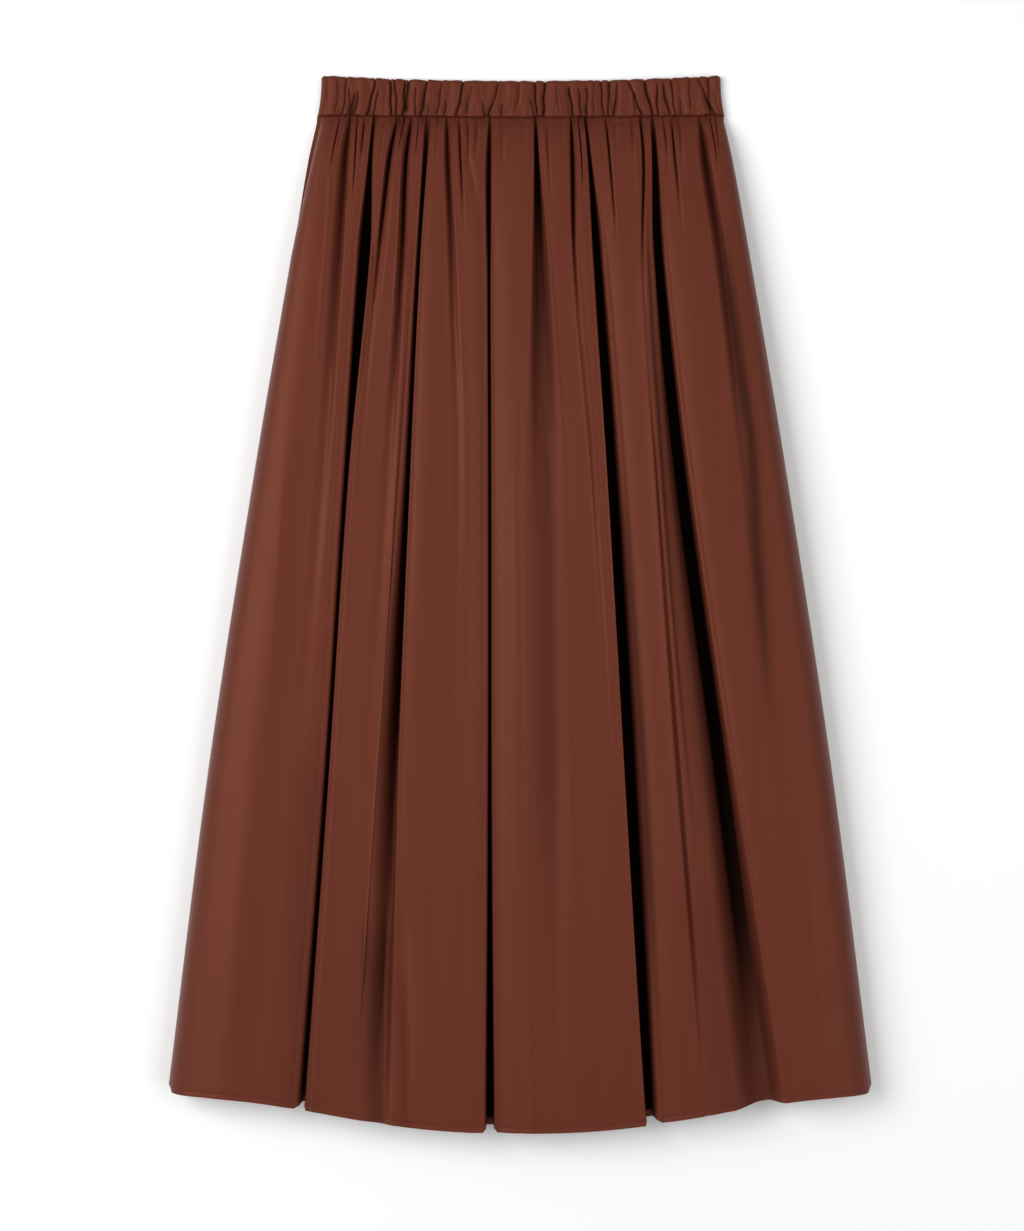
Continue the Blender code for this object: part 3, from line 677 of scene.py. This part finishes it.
def front_section(drop):
    """All points (x, height, lift) across the front panel at one drop, from the left seam to the right."""
    section = edge_points(-1, drop)
    seams = [-BAND_HALF_WIDTH] + [fold.centre[0] for fold in FOLDS] + [BAND_HALF_WIDTH]
    depths = [1.0] + [share(along(fold.depth, drop)) for fold in FOLDS] + [1.0]
    right_edge = edge_points(1, drop)[::-1]
    for index, span in enumerate(zip(seams, seams[1:])):
        following = fold_points(FOLDS[index], drop) if index < len(FOLDS) else right_edge
        section += panel_points(section[-1], following[0], depths[index:index + 2], span, drop)
        section += following
    return section


def back_section(drop):
    """All points (x, height, lift) across the back panel's face at one drop."""
    left, right = -along(HALF_WIDTH_LEFT, drop), along(HALF_WIDTH_RIGHT, drop)
    rise = along(BACK_RISE, drop)
    shape = [(-place, high) for place, high in BACK_SIDE] + list(BACK_SIDE[::-1])
    section = [(left, 0.0, 0.0)]
    for fold in BACK_FOLDS:
        centre = fold.seam + (fold.hem - fold.seam) * drop / HEM_DROP
        half = fold.width / 2
        before, after = section[-1][0], centre - half * BACK_SIDE[0][0]
        gather = BACK_GATHER_RISE * share(1 - drop / (0.045 + 3 * fold.width)) ** 1.5
        section += [(before + (after - before) * place, gather * high, 0.0) for place, high in BACK_GATHERS]
        section += [(centre + half * place, rise * high, 0.0) for place, high in shape]
    section.append(((section[-1][0] + right) / 2, 0.0, 0.0))
    section.append((right, 0.0, 0.0))
    return section


def smooth_through(points, pieces):
    """Points on a smooth curve through the given ones, with this many pieces between each pair."""
    points = np.array(points)
    steps = np.diff(points, axis=0)
    lengths = np.maximum(np.linalg.norm(steps, axis=1, keepdims=True), 1e-9)
    units = steps / lengths
    turned = units[:-1] * lengths[1:] + units[1:] * lengths[:-1]
    lean = np.concatenate([units[:1], turned, units[-1:]])
    lean /= np.maximum(np.linalg.norm(lean, axis=1, keepdims=True), 1e-6)
    found = []
    for piece in range(pieces):
        t = piece / pieces
        found.append(
            points[:-1] * (2 * t**3 - 3 * t**2 + 1)
            + lean[:-1] * lengths * (t**3 - 2 * t**2 + t)
            + points[1:] * (3 * t**2 - 2 * t**3)
            + lean[1:] * lengths * (t**3 - t**2)
        )
    run = np.stack(found, axis=1).reshape(-1, points.shape[1])
    return np.concatenate([run, points[-1:]])


def hem_drop(x):
    """Length of the cloth from the waist seam to the hem at this place along the hem."""
    swing = (1 - np.cos(pi * np.clip(np.abs(x) / HALF_WIDTH_LEFT[-1], 0.0, 1.0))) / 2
    return HEM_DROP - HEM_RISE * swing ** HEM_CURVE


def laid_out(section_of, rows, pieces):
    """Points of a panel as rows by columns by x, y, z: each column runs from the waist seam to the hem."""
    hem = np.array(section_of(HEM_DROP - SEAM_LEVEL))
    lift = np.interp(np.arange(0, len(hem) - 1 + 1e-9, 1 / pieces), np.arange(len(hem)), hem[:, 2])
    across = smooth_through(hem[:, :2], pieces)[:, 0]
    lengths = hem_drop(across) - lift
    surface = []
    for row in rows:
        section = np.array(section_of(min(HEM_DROP, max(0.0, row - SEAM_LEVEL))))
        line = smooth_through(section[:, :2], pieces)
        x, z = line[:, 0], line[:, 1]
        down = row * lengths / HEM_DROP
        near_hem = eased((row - HEM_DROP + NEAR_HEM) / NEAR_HEM)
        down = down + (row - (HEM_DROP - lengths) - down) * near_hem
        surface.append(np.stack([x, EASED * (SEAM_Y - dip(x, SEAM_DIP) - down), z], axis=1))
    return np.array(surface)


def normals_of(surface):
    """Unit normals of a grid of points, out of the face whose columns run to the right and rows down."""
    down = np.gradient(surface, axis=0)
    right = np.gradient(surface, axis=1)
    out = np.cross(down, right)
    return out / np.maximum(np.linalg.norm(out, axis=2, keepdims=True), 1e-12)


def on_cut(surface, top, bottom, drops):
    """Each point's place on the flat cut in metres: across the width and down the length."""
    steps = np.linalg.norm(np.diff(surface, axis=1), axis=2)
    across = np.concatenate([np.zeros((len(surface), 1)), np.cumsum(steps, axis=1)], axis=1)
    width = np.interp(drops, (0.0, HEM_DROP), (top, bottom))[:, None]
    across = (across / across[:, -1:] - 0.5) * width
    down = np.broadcast_to(drops[:, None], across.shape)
    return np.stack([across, down], axis=2)


def furrow(offset, left, right):
    """A sharp ridge's height at an offset across it, with a flank of its own width on each side."""
    width = np.where(offset < 0, left, right)
    return np.exp(-np.abs(offset) / width)


def pressed_creases(x, drops):
    """Height that the fine creases add at each point of the front."""
    height = np.zeros_like(x)
    for crease in CREASES:
        path = np.interp(drops, crease.drops, crease.across)
        first, last = crease.drops[0], crease.drops[-1]
        fade_in = eased((drops - first) / (0.2 * (last - first)))
        fade_out = eased((last - drops) / (0.45 * (last - first)))
        offset = x - path[:, None]
        height += crease.height * (fade_in * fade_out)[:, None] * furrow(offset, crease.left, crease.right)
    return height


def soft_shades(x, drops):
    """How strong the soft shades are at each point of the front, from 0 to 1."""
    found = np.zeros_like(x)
    for shade in SHADES:
        path = np.interp(drops, shade.drops, shade.across)
        first, last = shade.drops[0], shade.drops[-1]
        fade = eased((drops - first) / (0.25 * (last - first)))
        if last < HEM_DROP:
            fade = fade * eased((last - drops) / (0.35 * (last - first)))
        offset = x - path[:, None]
        width = np.where(offset < 0, shade.left, shade.right)
        found = np.maximum(found, shade.strength * fade[:, None] * np.exp(-((offset / width) ** 2)))
    return found


def puckers(x, drops, seed, reach, depth):
    """Height of the small puckers that run on below the waist seam from the waistband's creases."""
    starts = [(ruche, extra) for ruche in RUCHES for extra in (0.0, 0.0026)]
    picks = np.random.default_rng(seed).random((len(starts), 5))
    height = np.zeros_like(x)
    for (ruche, extra), (slant, length, deep, sharp, side) in zip(starts, picks):
        far = reach[0] + (reach[1] - reach[0]) * length**2
        lean = (ruche.seam - ruche.top) / BAND_DEPTH * 0.4 + (slant - 0.5) * 0.60
        start = ruche.seam + extra * (slant - 0.5) * 4
        path = start + lean * np.clip(drops, 0.0, far) + start / BAND_HALF_WIDTH * 0.08 * drops
        fade = np.clip(1 - np.clip(drops, 0.0, None) / far, 0.0, 1.0) ** 1.2
        steep, gentle = 0.0006 + 0.0006 * sharp, 0.0014 + 0.0020 * (1 - sharp)
        flanks = (steep, gentle) if side < 0.5 else (gentle, steep)
        deepest = depth * ruche.depth * (0.3 + 0.7 * deep) * (0.5 if extra else 1.0)
        height -= deepest * fade[:, None] * furrow(x - path[:, None], *flanks)
    return height


def dents(x, drops, seed, count, depth):
    """Height of the broad soft dents and swells that keep the panels from looking pressed."""
    picks = np.random.default_rng(seed).random((count, 5))
    height = np.zeros_like(x)
    for place, down, wide, tall, high in picks:
        centre = (place - 0.5) * 2 * np.interp(drops, (0.0, HEM_DROP), (0.160, 0.275))
        middle = 0.08 + 0.74 * down
        spread = 0.010 + 0.018 * wide
        length = 0.05 + 0.10 * tall
        bell = np.exp(-(((drops - middle) / length) ** 2))[:, None]
        height += (high - 0.5) * depth * bell * np.exp(-(((x - centre[:, None]) / spread) ** 2))
    return height


def deselect():
    bpy.ops.object.select_all(action="DESELECT")


def made_sheet(name, surface, cut, shade, faces_up, thickness, material):
    """A cloth piece over a grid of points, with its wall, its flat cut as a UV map and its painted shade.
    """
    rows, columns = surface.shape[:2]
    index = np.arange(rows * columns).reshape(rows, columns)
    corners = (index[:-1, :-1], index[1:, :-1], index[1:, 1:], index[:-1, 1:])
    quads = np.stack(corners if faces_up else corners[::-1], axis=-1).reshape(-1, 4)
    mesh = bpy.data.meshes.new(name)
    mesh.from_pydata(surface.reshape(-1, 3).tolist(), [], quads.tolist())
    layer = mesh.uv_layers.new(name="cut")
    layer.data.foreach_set("uv", cut.reshape(-1, 2)[quads.ravel()].astype(np.float32).ravel())
    # The painted shade is stored on each point for the material to mix into the colour
    painted_shade = mesh.attributes.new("painted_shade", "FLOAT", "POINT")
    painted_shade.data.foreach_set("value", np.broadcast_to(shade, (rows, columns)).astype(np.float32).ravel())
    mesh.materials.append(material)
    piece = bpy.data.objects.new(name, mesh)
    bpy.context.scene.collection.objects.link(piece)
    wall = piece.modifiers.new("wall", "SOLIDIFY")
    wall.thickness = thickness
    wall.offset = -1.0
    wall.use_even_offset = False
    deselect()
    bpy.context.view_layer.objects.active = piece
    piece.select_set(True)
    bpy.ops.object.modifier_apply(modifier=wall.name)
    bpy.ops.object.shade_smooth_by_angle(angle=SMOOTH_ANGLE)
    return piece


def front_surface(settings):
    """The front's face with its folds, creases, puckers and hem, and the shade painted on each point."""
    surface = laid_out(front_section, FRONT_ROWS, PIECES_BETWEEN)
    x = surface[..., 0]
    facing = normals_of(surface)
    upward = np.clip(facing[..., 2], 0.0, 1.0) ** 2
    inside = eased((np.interp(FRONT_ROWS, DROPS, HALF_WIDTH_LEFT)[:, None] - np.abs(x)) / 0.012)
    crowns = np.array([crown_at(max(0.0, drop - SEAM_LEVEL)) for drop in FRONT_ROWS])[:, None]
    sunk = (crowns - surface[..., 2]) / (crowns - FLOOR)
    shoulders = np.interp(FRONT_ROWS, DROPS, SHOULDER)[:, None]
    edges = np.minimum(x - x[:, :1], x[:, -1:] - x)
    gathered = puckers(x, FRONT_ROWS, seed=5, reach=(0.008, 0.045), depth=0.0024)
    dented = dents(x, FRONT_ROWS, seed=11, count=34, depth=0.0016)
    surface[..., 2] += (pressed_creases(x, FRONT_ROWS) + gathered + dented) * upward * inside
    # Painted shade: darker the deeper the cloth lies in a fold and along the puckers' creases, less near
    # the side edges
    painted_shade = np.maximum(eased((sunk - 0.30) / 0.50), 0.40 * eased(sunk / 0.40))
    painted_shade *= eased(edges / (0.7 * shoulders))
    painted_shade = np.maximum(painted_shade, 0.55 * np.clip(-gathered * upward / 0.0036, 0.0, 1.0))
    # The bands of painted shade from the table go on top
    painted_shade += soft_shades(x, FRONT_ROWS) * (1 - painted_shade)
    # The cloth dips into the waist seam and runs in under the waistband
    sinks = np.interp(FRONT_ROWS, (-0.0030, -0.0006, 0.0, 0.0010, 0.0030), (0.0, 0.30, 0.55, 0.85, 1.0))
    surface[..., 2] = FLOOR + (surface[..., 2] - FLOOR) * sinks[:, None]
    surface[..., 1] += SEAM_PULL * gathered_at(x) * np.exp(-np.maximum(FRONT_ROWS, 0.0) / 0.012)[:, None]
    above_hem = HEM_DROP - FRONT_ROWS
    # The corners of the hem are rounded
    corner = eased(1 - above_hem / CORNER_REACH[1])[:, None] * np.exp(-edges / CORNER_REACH[0])
    surface[..., 0] -= np.sign(x) * corner * CORNER_IN
    surface[..., 1] += corner * CORNER_UP
    swell = np.where(above_hem < settings.hem_depth, HEM_SWELL, 0.0)
    seat = -STITCH_SEAT * np.exp(-(((above_hem - settings.hem_depth) / STITCH_SEAT_WIDTH) ** 2))
    surface += normals_of(surface) * (swell + seat)[:, None, None]
    return surface, painted_shade


def gathered_at(x):
    """How tightly the cloth is gathered at each place along the waist seam, from 0 to 1."""
    found = np.zeros_like(x)
    for ruche in RUCHES:
        found += ruche.depth * ruche.ends * np.exp(-(((x - ruche.seam) / 0.0024) ** 2))
    return np.clip(found, 0.0, 1.0)


def band_y(x, row):
    """Place down the waistband at a row, from its dipping top edge to the waist seam."""
    top = SEAM_Y + SEAM_GAP + BAND_DEPTH - dip(x, TOP_DIP)
    return EASED * (top + (SEAM_Y + SEAM_GAP - dip(x, SEAM_DIP) - top) * row)


def ruched(x, row, deepest, seed):
    """Height of the waistband's creases below its crests at one row."""
    picks = np.random.default_rng(seed).random((len(RUCHES), 3))
    height = np.zeros_like(x)
    for ruche, (sharp, lean, wander) in zip(RUCHES, picks):
        path = ruche.top + (ruche.seam - ruche.top) * row + 0.0004 * np.sin(9 * row + 20 * wander)
        fade = eased((row - ruche.begins + 0.14) / 0.18) * eased((ruche.ends + 0.14 - row) / 0.18)
        steep, gentle = 0.0003 + 0.0004 * sharp, 0.0009 + 0.0016 * (1 - sharp)
        flanks = (steep, gentle) if lean < 0.5 else (gentle, steep)
        height -= deepest * ruche.depth * fade * furrow(x - path, *flanks)
    small = np.random.default_rng(seed + 1).random((SMALL_RUCHES, 5))
    for index, (place, lean, middle, reach, side) in enumerate(small):
        start = ((index + place) / len(small) - 0.5) * 2 * BAND_HALF_WIDTH
        path = start + (lean - 0.5) * 0.012 * (row - 0.5)
        fade = np.exp(-(((row - middle) / (0.10 + 0.30 * reach)) ** 2))
        flanks = (0.0004 + 0.0018 * side, 0.0022 - 0.0018 * side)
        height -= deepest * 0.28 * fade * furrow(x - path, *flanks)
    swell = np.sin(x * 2 * pi / 0.0135 + 1.3 * np.sin(x * 90)) * 0.18 * deepest
    return height + swell


def band_front_surface(settings):
    """The waistband's front face, rolled over at its top edge, and the shade painted on each point."""
    left, right = -BAND_HALF_WIDTH, BAND_HALF_WIDTH
    x = np.linspace(left, right, BAND_COLUMNS)
    ends = np.minimum(x - left, right - x)
    rounded = np.sqrt(np.clip(1 - (1 - np.clip(ends / BAND_ROUND, 0.0, 1.0)) ** 2, 0.0, 1.0))
    calm = eased(ends / BAND_CALM)

    def height(row):
        full = BAND_CREST + ruched(x, row, settings.ruche_depth, RUCHE_SEED) * calm
        return BAND_FOOT + np.maximum(full - BAND_FOOT, BAND_LOWEST) * rounded

    # Painted shade: a little over the whole band, and darker in the ruches' creases
    def painted_shade_at(row):
        return 0.06 + 0.76 * np.clip(-ruched(x, row, 1.0, RUCHE_SEED) * calm - 0.12, 0.0, 1.0) ** 1.3

    def flared(row):
        return x * (1 + BAND_FLARE * row * row)

    top = height(0.0)
    reach = (top - BAND_FOOT) / 2
    widest = reach.max()
    surface, painted_shade = [], []
    for step in range(BAND_ROLL, 0, -1):
        turn = pi * step / BAND_ROLL
        line_y = band_y(x, 0.0) - widest + reach * np.sin(turn)
        surface.append(np.stack([x, line_y, (top + BAND_FOOT) / 2 + reach * np.cos(turn)], axis=1))
        painted_shade.append(painted_shade_at(0.0))
    for row in BAND_ROWS:
        y = band_y(x, row) - widest * (1 - row) + SEAM_PULL * gathered_at(flared(row)) * row**4
        tucked = eased((row - BAND_TUCK) / (1 - BAND_TUCK))
        z = BAND_FOOT + (height(row) - BAND_FOOT) * (1 - 0.45 * tucked)
        surface.append(np.stack([flared(row), y, z], axis=1))
        # More painted shade where the band tucks into the waist seam, the more where it is gathered
        at_seam = tucked * (0.18 + 0.55 * gathered_at(flared(row)))
        painted_shade.append(np.maximum(painted_shade_at(row), at_seam))
    return np.array(surface), np.array(painted_shade)


def band_back_surface():
    """The waistband's back face, flat where it rests, with the ruches as grooves up into it."""
    x = np.linspace(-BAND_HALF_WIDTH, BAND_HALF_WIDTH, BAND_COLUMNS // 2)
    surface = []
    for row in BAND_ROWS[::2]:
        grooves = np.maximum(-ruched(-x, row, 0.0012, seed=8) - 0.0004, 0.0)
        y = band_y(x, row * 0.985 + 0.015) - 0.0010 * (1 - row)
        surface.append(np.stack([x * (1 + BAND_FLARE * row * row), y, np.minimum(grooves, 0.0010)], axis=1))
    return np.array(surface), 0.0


def stitched(name, line, out, pitch, material):
    """A row of stitches along a line of points on the cloth, each a small rounded bar let into it."""
    steps = np.linalg.norm(np.diff(line, axis=0), axis=1)
    run = np.concatenate([[0.0], np.cumsum(steps)])
    count = int(run[-1] / pitch)
    deselect()
    bpy.ops.mesh.primitive_uv_sphere_add(segments=6, ring_count=4, radius=1.0)
    model = bpy.context.object
    bar = np.array([vertex.co for vertex in model.data.vertices])
    faces = [list(face.vertices) for face in model.data.polygons]
    bpy.data.objects.remove(model)

    def read(values, place):
        return np.array([np.interp(place, run, values[:, axis]) for axis in range(3)])

    points, rings = [], []
    for stitch in range(count):
        middle = (stitch + 0.5) * pitch
        at = read(line, middle)
        ahead = read(line, middle + pitch * 0.3) - at
        up = read(out, middle)
        ahead /= max(np.linalg.norm(ahead), 1e-9)
        up = up - ahead * (up @ ahead)
        up /= max(np.linalg.norm(up), 1e-9)
        side = np.cross(up, ahead)
        placed = (
            at + up * STITCH_PROUD
            + np.outer(bar[:, 2], ahead) * pitch * STITCH_SHARE
            + np.outer(bar[:, 0], side) * STITCH_HALF[0]
            + np.outer(bar[:, 1], up) * STITCH_HALF[1]
        )
        rings += [[corner + len(bar) * stitch for corner in face] for face in faces]
        points.append(placed)
    mesh = bpy.data.meshes.new(name)
    mesh.from_pydata(np.concatenate(points).tolist(), [], rings)
    mesh.materials.append(material)
    mesh.shade_smooth()
    piece = bpy.data.objects.new(name, mesh)
    bpy.context.scene.collection.objects.link(piece)
    return piece


def material_named(name, make):
    """The material of this name, made the first time it is wanted."""
    return bpy.data.materials.get(name) or make(bpy.context.scene.skirt_cloth)


def hem_line(surface, drops, above):
    """The line of points at a distance above the hem, and the normals there."""
    row = int(np.argmin(np.abs(HEM_DROP - drops - above)))
    return surface[row], normals_of(surface)[row]


class SKIRT_OT_front_panel(bpy.types.Operator):
    """Makes the front panel's cloth and the stitches of its hem"""

    bl_idname = "skirt.front_panel"
    bl_label = "Front panel"

    def execute(self, context):
        settings = context.scene.skirt_cloth
        surface, painted_shade = front_surface(settings)
        cut = on_cut(surface, FRONT_CUT_TOP, FRONT_CUT[0], FRONT_ROWS)
        cloth = material_named("brown_taffeta", taffeta)
        panel = made_sheet("front_panel_cloth", surface, cut, painted_shade, True, settings.thickness, cloth)
        line, out = hem_line(surface, FRONT_ROWS, settings.hem_depth)
        stitches = stitched("front_hem_stitches", line, out, settings.stitch_length,
                            material_named("thread", thread_material))
        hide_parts("front_panel")
        for piece in (panel, stitches):
            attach(piece, "root")
        return {"FINISHED"}


class SKIRT_OT_back_panel(bpy.types.Operator):
    """Makes the back panel's cloth and the stitches of its hem"""

    bl_idname = "skirt.back_panel"
    bl_label = "Back panel"

    def execute(self, context):
        settings = context.scene.skirt_cloth
        surface = laid_out(back_section, BACK_ROWS, 2)
        surface[..., 2] = np.maximum(surface[..., 2], 0.0)
        cut = on_cut(surface, BACK_CUT_TOP, BACK_CUT[0], BACK_ROWS)
        cloth = material_named("brown_taffeta", taffeta)
        panel = made_sheet("back_panel_cloth", surface, cut, 0.0, False, WALL, cloth)
        line, out = hem_line(surface, BACK_ROWS, settings.hem_depth)
        stitches = stitched("back_hem_stitches", line + out * WALL, out, settings.stitch_length,
                            material_named("thread", thread_material))
        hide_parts("back_panel")
        for piece in (panel, stitches):
            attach(piece, "root")
        return {"FINISHED"}


class SKIRT_OT_waistband(bpy.types.Operator):
    """Makes both halves of the ruched waistband"""

    bl_idname = "skirt.waistband"
    bl_label = "Waistband"

    def execute(self, context):
        settings = context.scene.skirt_cloth
        cloth = material_named("brown_taffeta", taffeta)
        for name, (surface, painted_shade), up in (
            ("waistband_front", band_front_surface(settings), True),
            ("waistband_back", band_back_surface(), False),
        ):
            steps = np.linalg.norm(np.diff(surface[:, 0], axis=0), axis=1)
            down = np.concatenate([[0.0], np.cumsum(steps)])
            cut = on_cut(surface, BAND_CUT[0], BAND_CUT[0], down)
            band = made_sheet(name + "_cloth", surface, cut, painted_shade, up, settings.thickness, cloth)
            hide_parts(name)
            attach(band, "root")
        return {"FINISHED"}


class SKIRT_OT_stage(bpy.types.Operator):
    """Makes the floor, the lights and the camera"""

    bl_idname = "skirt.stage"
    bl_label = "Stage"

    def execute(self, context):
        settings = context.scene.skirt_stage
        deselect()
        bpy.ops.mesh.primitive_plane_add(size=12.0, location=(0.0, 0.0, -0.0002))
        floor = context.object
        floor.name = "floor"
        floor.data.materials.append(floor_material(settings))
        for name, place, turn, size, power in (
            ("key", (-1.45, 0.38, 1.78), (0.0, -0.69, 0.0), 1.5, settings.key),
            ("fill", (1.60, -0.20, 1.90), (0.0, 0.70, 0.0), 1.8, settings.fill),
        ):
            bpy.ops.object.light_add(type="AREA", location=place, rotation=turn)
            light = context.object
            light.name = name
            light.data.size = size
            light.data.energy = power
        world = bpy.data.worlds.new("even light")
        world.use_nodes = True
        background = world.node_tree.nodes["Background"]
        background.inputs["Color"].default_value = (1.0, 1.0, 1.0, 1.0)
        background.inputs["Strength"].default_value = settings.sky
        context.scene.world = world
        context.scene.view_settings.view_transform = "Standard"
        middle = [
            (PHOTO[0] / 2 - PHOTO_ORIGIN[0]) * PHOTO_PIXEL,
            (PHOTO_ORIGIN[1] - PHOTO[1] / 2) * PHOTO_PIXEL,
        ]
        bpy.ops.object.camera_add(location=(*middle, settings.distance), rotation=(0.0, 0.0, 0.0))
        camera = context.object
        camera.name = "camera"
        camera.data.lens = camera.data.sensor_width * settings.distance / (PHOTO[1] * PHOTO_PIXEL)
        context.scene.camera = camera
        return {"FINISHED"}


class SKIRT_PT_pieces(bpy.types.Panel):
    bl_label = "Skirt"
    bl_space_type = "VIEW_3D"
    bl_region_type = "UI"
    bl_category = "Skirt"

    def draw(self, context):
        for group in (context.scene.skirt_cloth, context.scene.skirt_stage):
            for name in group.__annotations__:
                self.layout.prop(group, name)
        for operator in OPERATORS:
            self.layout.operator(operator.bl_idname)


OPERATORS = (SKIRT_OT_front_panel, SKIRT_OT_back_panel, SKIRT_OT_waistband, SKIRT_OT_stage)
CLASSES = (ClothSettings, StageSettings, *OPERATORS, SKIRT_PT_pieces)


def register():
    for made in CLASSES:
        bpy.utils.register_class(made)
    bpy.types.Scene.skirt_cloth = PointerProperty(type=ClothSettings)
    bpy.types.Scene.skirt_stage = PointerProperty(type=StageSettings)


def unregister():
    del bpy.types.Scene.skirt_stage
    del bpy.types.Scene.skirt_cloth
    for made in reversed(CLASSES):
        bpy.utils.unregister_class(made)


def main():
    register()
    bpy.ops.skirt.front_panel()
    bpy.ops.skirt.back_panel()
    bpy.ops.skirt.waistband()
    bpy.ops.skirt.stage()


if __name__ == "__main__":
    main()
